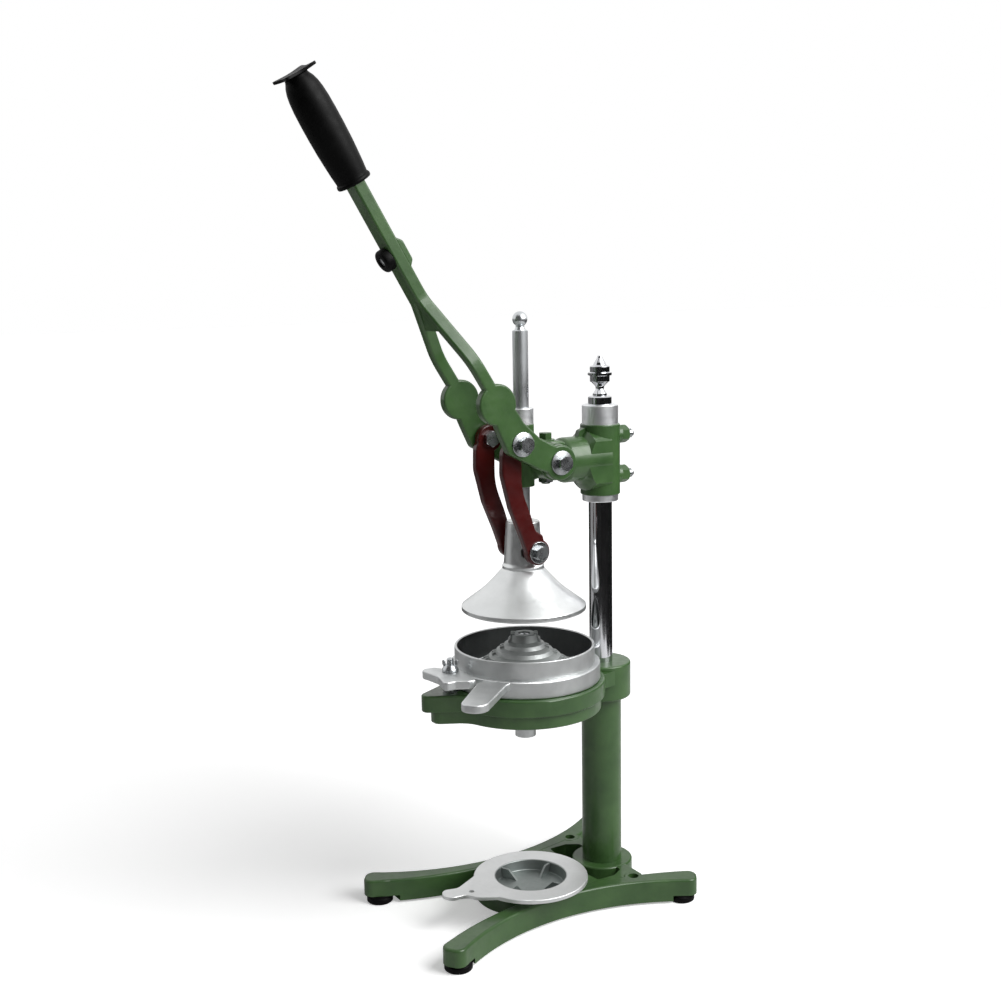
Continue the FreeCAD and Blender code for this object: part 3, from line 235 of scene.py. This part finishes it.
def bright_zinc(name, colour, hazed):
    """Zinc plate: soft mirror with a haze in patches of 8 mm."""
    material, shader, place = start_finish(name, Metallic=1.0)
    haze = between(material, grain(material, place, 8 * mm, 4.0), 0, 1)
    drag = relief(material, grain(material, place, 0.8 * mm, 2.0), 0.015 * mm)
    connect(material, shader, Base_Color=blend_colours(material, haze, colour, hazed), Normal=drag,
            Roughness=between(material, haze, 0.2, 0.34, 0, 1))
    return material


zinc_plate = bright_zinc("bright zinc plate on steel", "#c3c6c8", "#a8abad")
dress(zinc_plate, "foot_screws", "column_nut", "reamer_screw", "head_lock_screws", "head_bolt_nut",
      "fulcrum_bolts", "bumper_screw", "link_top_bolts", "link_top_nuts", "link_foot_bolts",
      "link_foot_washers", "latch_stud", "latch_spacer", "wing_nut")


# Threads: the ends of the two clamp screws and of the latch's stud stand out of their nuts. They are
# rolled, so each thread is one rounded ridge that runs round the screw.


def rolled_thread(name, radius, pitch, turns, base, axis):
    """Ridge of a thread: a small round drawn along a helix, closed at both ends."""
    clear_selection()
    bpy.ops.mesh.primitive_circle_add(vertices=6, radius=pitch * 0.42, fill_type="NOTHING",
                                      location=(radius, 0, 0), rotation=(math.pi / 2, 0, 0))
    piece = bpy.context.object
    piece.name = name
    bpy.ops.object.transform_apply(location=True, rotation=True)
    winding = piece.modifiers.new("winding", "SCREW")
    winding.screw_offset = pitch
    winding.iterations = turns
    winding.steps = winding.render_steps = 28
    winding.use_merge_vertices = False
    bpy.ops.object.modifier_apply(modifier="winding")
    bpy.ops.object.mode_set(mode="EDIT")
    bpy.ops.mesh.select_all(action="SELECT")
    bpy.ops.mesh.fill_holes(sides=6)
    bpy.ops.mesh.select_all(action="SELECT")
    bpy.ops.mesh.normals_make_consistent(inside=False)
    bpy.ops.object.mode_set(mode="OBJECT")
    finish_piece(piece, "root", zinc_plate, base, axis, round_off=0)


screws_low, screws_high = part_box("head_lock_screws")
lock_screw_r = (screws_high.x - screws_low.x) / 2
for name, height in (("lower", screws_low.z + lock_screw_r), ("upper", screws_high.z - lock_screw_r)):
    screw_tip = Vector((0, screws_high.y - 7.4 * mm, height))
    rolled_thread(f"lock_screw_thread_{name}", lock_screw_r - 0.1 * mm, 1.1 * mm, 5, screw_tip, Vector((0, 1, 0)))
stud_low, stud_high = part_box("latch_stud")
stud_place = Vector(((stud_low.x + stud_high.x) / 2, (stud_low.y + stud_high.y) / 2, stud_high.z - 5.4 * mm))
rolled_thread("latch_stud_thread", (stud_high.x - stud_low.x) / 2 - 0.1 * mm, 1.0 * mm, 5, stud_place,
              Vector((0, 0, 1)))


# Column and guide rod: ground steel bar with hard chrome. The column is polished like a mirror, and
# the guide rod is dulled by its bush, with fine scratches along its travel.


def hard_chrome(name, colour, dullest, shine, scratch):
    """Chrome plate: mirror with scratches 0.6 mm apart that run along the bar."""
    material, shader, place = start_finish(name, Metallic=1.0)
    shader.inputs["Base Color"].default_value = linear(colour)
    lines = grain(material, place, 0.6 * mm, 3.0, (1, 1, 0.03))
    rubbed = grain(material, place, 25 * mm, 4.0)
    connect(material, shader, Normal=relief(material, lines, scratch),
            Roughness=between(material, rubbed, shine, dullest))
    return material


column_chrome = hard_chrome("polished hard chrome", "#d6d7da", 0.1, 0.05, 0.002 * mm)
rod_chrome = hard_chrome("rubbed hard chrome", "#cdd0d2", 0.36, 0.26, 0.012 * mm)
dress(column_chrome, "column_rod", "column_finial")
dress(rod_chrome, "guide_rod", "rod_ball_knob")


# Pan, funnel, strainer bowl, reamer, latch and spare plate: aluminium castings that are tumbled
# with ceramic stones. That leaves an even silver grey with a fine pebbled skin.


def tumbled_aluminium(name, deep, pale, dull, pebble):
    """Tumbled casting: satin metal with pebbling of 0.7 mm and clouds from the melt."""
    material, shader, place = start_finish(name, Metallic=1.0)
    clouds = between(material, grain(material, place, 22 * mm, 5.0), 0, 1)
    skin = relief(material, grain(material, place, 0.7 * mm, 3.0), pebble)
    dents = relief(material, grain(material, place, 5 * mm, 3.0), 0.05 * mm, skin)
    connect(material, shader, Base_Color=blend_colours(material, clouds, deep, pale), Normal=dents,
            Roughness=between(material, grain(material, place, 4 * mm, 4.0), dull - 0.06, dull + 0.06))
    return material


cast_aluminium = tumbled_aluminium("tumbled cast aluminium", "#c2c4c4", "#d6d8d8", 0.46, 0.03 * mm)
dress(cast_aluminium, "juice_pan", "spout_funnel", "spout_tube", "latch_lever")

# The reamer is a rougher casting, left grey between its teeth, where fruit has scoured it dull.
reamer_aluminium = tumbled_aluminium("scoured cast aluminium", "#9fa3a2", "#b6b9b8", 0.6, 0.05 * mm)
dress(reamer_aluminium, "reamer_cone")

# The strainer bowl is tumbled too, and its inside is darkened grey as painted shade.
pan_low, pan_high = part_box("strainer_bowl")
bowl_axis = ((pan_low.x + pan_high.x) / 2, (pan_low.y + pan_high.y) / 2, 0)


def paint_shade_inside_bowl(material):
    """Painted shade: darkens the faces that look towards the bowl's axis."""
    shader = material.node_tree.nodes["Principled BSDF"]
    surface = add_node(material, "ShaderNodeNewGeometry")
    place = add_node(material, "ShaderNodeTexCoord").outputs["Object"]
    outward = add_node(material, "ShaderNodeVectorMath", {0: place, 1: bowl_axis}, operation="SUBTRACT")
    facing = add_node(material, "ShaderNodeVectorMath", {
        0: outward.outputs["Vector"], 1: surface.outputs["Normal"]}, operation="DOT_PRODUCT")
    # Mask of the faces inside the bowl, where shade is painted.
    inside = between(material, facing.outputs["Value"], 1, 0, -10 * mm, 0)
    tumbled = shader.inputs["Base Color"].links[0].from_socket
    # 5c5e5e is the painted shade colour of the bowl's inside.
    colour = add_node(material, "ShaderNodeMix", {0: inside, 6: tumbled, 7: linear("#5c5e5e")}, data_type="RGBA")
    connect(material, shader, Base_Color=colour.outputs[2])


# The spare strainer plate has a bright tumbled rim and tab. Its cup is darkened as painted shade.
spare_cup_r = 34 * mm
spare_low, spare_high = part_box("spare_strainer_plate")
spare_axis = (spare_high.x - 53.5 * mm, spare_high.y - 53.5 * mm, 0)


def paint_shade_in_cup(material):
    """Painted shade: darkens the faces inside the cup's radius."""
    shader = material.node_tree.nodes["Principled BSDF"]
    place = add_node(material, "ShaderNodeTexCoord").outputs["Object"]
    outward = add_node(material, "ShaderNodeVectorMath", {0: place, 1: spare_axis}, operation="SUBTRACT")
    level = add_node(material, "ShaderNodeVectorMath", {0: outward.outputs["Vector"], 1: (1, 1, 0)},
                     operation="MULTIPLY")
    away = add_node(material, "ShaderNodeVectorMath", {0: level.outputs["Vector"]}, operation="LENGTH")
    # Mask of the cup, where shade is painted.
    inside = between(material, away.outputs["Value"], 1, 0, spare_cup_r - 1 * mm, spare_cup_r + 0.5 * mm)
    tumbled = shader.inputs["Base Color"].links[0].from_socket
    # 8b918f is the painted shade colour of the cup.
    colour = add_node(material, "ShaderNodeMix", {0: inside, 6: tumbled, 7: linear("#8b918f")}, data_type="RGBA")
    connect(material, shader, Base_Color=colour.outputs[2])


# This material paints shade in the cup.
spare_aluminium = tumbled_aluminium("bright tumbled casting", "#d6d7d7", "#e0e1e1", 0.5, 0.02 * mm)
paint_shade_in_cup(spare_aluminium)
dress(spare_aluminium, "spare_strainer_plate")

# This material paints shade on the bowl's inside.
bowl_aluminium = tumbled_aluminium("tumbled cast aluminium with painted shade inside", "#c2c4c4", "#d6d8d8", 0.46, 0.03 * mm)
paint_shade_inside_bowl(bowl_aluminium)
dress(bowl_aluminium, "strainer_bowl")


# Head bushes and collar: turned from aluminium bar. The tool leaves rings, drawn here 0.9 mm apart
# so that they show, which stretch each highlight along the bar.


def turned_metal(name, colour, pale):
    material, shader, place = start_finish(name, Metallic=1.0)
    rings = add_node(material, "ShaderNodeTexWave", {"Vector": place, "Scale": 1 / (0.9 * mm) / 20,
                     "Distortion": 0.4, "Detail": 1.0}, wave_type="BANDS", bands_direction="Z")
    clouds = between(material, grain(material, place, 12 * mm, 3.0), 0, 1)
    connect(material, shader, Base_Color=blend_colours(material, clouds, colour, pale),
            Normal=relief(material, rings.outputs["Fac"], 0.02 * mm),
            Roughness=between(material, clouds, 0.34, 0.44, 0, 1))
    return material


turned_aluminium = turned_metal("turned aluminium", "#e4e6e8", "#eeeff0")
dress(turned_aluminium, "lower_bush", "upper_collar", "rod_bush")


# Press cone: a smooth die-cast cone with a slender neck, polished pale so that pulp wipes off.

pale_aluminium = tumbled_aluminium("pale polished casting", "#d8dada", "#e2e4e4", 0.36, 0.008 * mm)
dress(pale_aluminium, "press_cone")


# Links: two bars laser-cut from flat steel, rounded along their edges and sprayed with a dark red
# gloss enamel. The left one hangs in the shade of the other.

red_enamel = sprayed_enamel("dark red gloss enamel", "#330100", "#480302")
dress(red_enamel, "link_right", "link_left")


# Hand grip: a moulded rubber sleeve pushed over the end of the lever, with a bead round its mouth,
# a slight swell for the palm and a dished square cap with four drawn-out points.

lever_joint = next(joint for joint in frame["joints"] if joint["name"] == "lever_swing")
fulcrum = Vector(lever_joint["pos_m"])
lean = math.radians(30.4)
along = Vector((0, -math.sin(lean), math.cos(lean)))
rearward = Vector((0, math.cos(lean), math.sin(lean)))
bar_middle = fulcrum + rearward * (-29.4 * mm)
grip_start = 298
grip_long = 95
grip_rings = [(13.6, 0), (14.6, 0.3), (15.1, 1.4), (15.1, 2.8), (14.6, 3.9), (13.9, 4.5), (14.1, 7),
              (14.7, 13), (15.3, 22), (15.9, 33), (16.2, 46), (16.2, 60), (15.9, 71), (15.2, 79),
              (14.1, 85), (12.6, 89.5), (11.0, 92.5), (10.3, 94), (10.2, grip_long)]
grip = draw_up("grip_sleeve", grip_rings, 64)
pick_faces(grip, lambda middle, normal: normal.z < -0.9)
bpy.ops.mesh.inset(thickness=1.6 * mm)
bpy.ops.transform.translate(value=(0, 0, 2.0 * mm))
bpy.ops.object.mode_set(mode="OBJECT")
finish_piece(grip, "lever", black_rubber, bar_middle + along * (grip_start * mm), along)
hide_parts("hand_grip")

cap_half = 15.5
cap_thick = 2.7
clear_selection()
bpy.ops.mesh.primitive_cube_add(size=1, scale=(2 * cap_half * mm, 2 * cap_half * mm, cap_thick * mm))
cap = bpy.context.object
cap.name = "grip_cap"
bpy.ops.object.transform_apply(location=True, rotation=True, scale=True)
bpy.ops.object.mode_set(mode="EDIT")
bpy.ops.mesh.select_all(action="SELECT")
bpy.ops.mesh.subdivide(number_cuts=5)
bpy.ops.object.mode_set(mode="OBJECT")
for corner in cap.data.vertices:
    x, y = corner.co.x / (cap_half * mm), corner.co.y / (cap_half * mm)
    drawn_in = 1 - 0.2 * (1 - min(abs(x), abs(y))) * max(abs(x), abs(y)) ** 2
    corner.co.x *= drawn_in
    corner.co.y *= drawn_in
    corner.co.z += 1.5 * mm * (math.hypot(x, y) / 1.414) ** 2 - 0.4 * mm
soft = cap.modifiers.new("soft", "SUBSURF")
soft.levels = soft.render_levels = 2
bpy.ops.object.modifier_apply(modifier="soft")
cap_base = bar_middle + along * ((grip_start + grip_long + cap_thick / 2 + 0.2) * mm)
finish_piece(cap, "lever", black_rubber, cap_base, along, round_off=0)
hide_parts("grip_end_cap")


# Bumper: a rubber puck screwed to the front of the lever, which stops it on the head. It is
# moulded with a rounded rim and a recess for its screw.

bumper_at = 231
bar_deep = 11.5
bumper_rings = [(9.4, 0), (10.0, 0.8), (10.0, 5.2), (9.7, 6.6), (8.8, 7.6), (7.6, 8.0), (4.4, 8.0), (4.2, 5.6)]
bumper = draw_up("bumper_puck", bumper_rings, 48)
bumper_base = bar_middle + along * (bumper_at * mm) - rearward * (bar_deep / 2 * mm)
finish_piece(bumper, "lever", black_rubber, bumper_base, -rearward)
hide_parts("lever_bumper")


# Floor, light and camera: a plain pale studio sweep, a large soft box behind the right shoulder and
# a weaker one in front, as in the photograph.


def pale_floor():
    material, shader, place = start_finish("pale studio floor", Roughness=0.9)
    seen = add_node(material, "ShaderNodeLightPath")
    eye = seen.outputs["Is Camera Ray"]
    paint = add_node(material, "ShaderNodeMix", {0: eye, 6: linear("#e6e6e6"), 7: linear("#ffffff")},
                     data_type="RGBA").outputs[2]
    shader.inputs["Emission Color"].default_value = linear("#ffffff")
    away = add_node(material, "ShaderNodeVectorMath", {0: place}, operation="LENGTH").outputs["Value"]
    glow = between(material, away, 0.38, 0.85, 0.3, 1.6)
    lift = add_node(material, "ShaderNodeMath", {0: eye, 1: glow}, operation="MULTIPLY").outputs["Value"]
    connect(material, shader, Base_Color=paint, Emission_Strength=lift)
    return material


clear_selection()
bpy.ops.mesh.primitive_plane_add(size=30, location=(0, 0, 0))
floor = bpy.context.object
floor.name = "studio_floor"
floor.data.materials.append(pale_floor())

world = bpy.data.worlds.new("studio")
bpy.context.scene.world = world
world.use_nodes = True
background = world.node_tree.nodes["Background"]
path = world.node_tree.nodes.new("ShaderNodeLightPath")
seen_by_eye = world.node_tree.nodes.new("ShaderNodeMath")
seen_by_eye.operation = "MAXIMUM"
world.node_tree.links.new(path.outputs["Is Camera Ray"], seen_by_eye.inputs[0])
world.node_tree.links.new(path.outputs["Is Glossy Ray"], seen_by_eye.inputs[1])
seen_through = world.node_tree.nodes.new("ShaderNodeMath")
seen_through.operation = "MAXIMUM"
world.node_tree.links.new(seen_by_eye.outputs[0], seen_through.inputs[0])
world.node_tree.links.new(path.outputs["Is Transmission Ray"], seen_through.inputs[1])
strength = world.node_tree.nodes.new("ShaderNodeMapRange")
strength.inputs["To Min"].default_value = 0.1
strength.inputs["To Max"].default_value = 1.0
world.node_tree.links.new(seen_through.outputs[0], strength.inputs["Value"])
world.node_tree.links.new(strength.outputs["Result"], background.inputs["Strength"])
background.inputs["Color"].default_value = (1.0, 1.0, 1.0, 1.0)


def soft_box(name, place, target, size, watts):
    clear_selection()
    bpy.ops.object.light_add(type="AREA", location=place)
    lamp = bpy.context.object
    lamp.name = name
    lamp.data.shape = "SQUARE"
    lamp.data.size = size
    lamp.data.energy = watts
    lamp.rotation_mode = "QUATERNION"
    lamp.rotation_quaternion = (Vector(target) - Vector(place)).to_track_quat("-Z", "Y")


column_low, column_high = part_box("column_rod")
column = Vector(((column_low.x + column_high.x) / 2, (column_low.y + column_high.y) / 2, 0))
aim = (0, 0, 0.35)
soft_box("key", (1.75, 1.15, 2.0), aim, 2.0, 96)
soft_box("front", (0.4, -2.6, 1.8), aim, 1.6, 6)


def dark_card(bearing, low, high):
    """Black card beside the set: mirrors show it as a dark streak, and the camera doesn't see it."""
    clear_selection()
    out = Vector((math.sin(math.radians(bearing)), -math.cos(math.radians(bearing)), 0))
    place = out * card_away + Vector((0, 0, (low + high) / 2))
    bpy.ops.mesh.primitive_plane_add(size=1)
    card = bpy.context.object
    card.name = f"card_{bearing}_{round(low * 100)}"
    card.matrix_world = (Matrix.Translation(place) @ (-out).to_track_quat("Z", "Y").to_matrix().to_4x4()
                         @ Matrix.Diagonal((card_wide, high - low, 1, 1)))
    card.data.materials.append(card_black)
    card.visible_camera = False
    card.visible_diffuse = False
    card.visible_shadow = False


card_away = 0.9
card_wide = 0.8
card_black, card_shader, card_place = start_finish("black card", Roughness=0.9)
card_shader.inputs["Base Color"].default_value = linear("#0c0c0c")
for bearing in (0, 45, 90, 135, 180):
    dark_card(bearing, 0, 0.5)
for bearing in (225, 270):
    dark_card(bearing, 0, 0.3)
for bearing in (10, 55):
    dark_card(bearing, 0.55, 2.0)

# The camera stands in front of the press on its right, 9.5 degrees above it and with a slight roll.
heading = math.radians(59.1)
dip = math.radians(9.49)
roll = math.radians(-0.96)
right = Vector((math.cos(heading), math.sin(heading), 0))
level = Vector((-math.sin(heading), math.cos(heading), 0))
forward = level * math.cos(dip) - Vector((0, 0, 1)) * math.sin(dip)
upward = level * math.sin(dip) + Vector((0, 0, 1)) * math.cos(dip)
camera_x = right * math.cos(roll) + upward * math.sin(roll)
camera_y = upward * math.cos(roll) - right * math.sin(roll)
bpy.ops.object.camera_add()
camera = bpy.context.object
camera.matrix_world = Matrix.Translation(column + Vector((1.03306, -0.72811, 0.59215))) @ Matrix(
    (camera_x, camera_y, -forward)).transposed().to_4x4()
camera.data.sensor_width = 36
camera.data.lens = 48.66
bpy.context.scene.camera = camera
bpy.context.scene.view_settings.view_transform = "Standard"
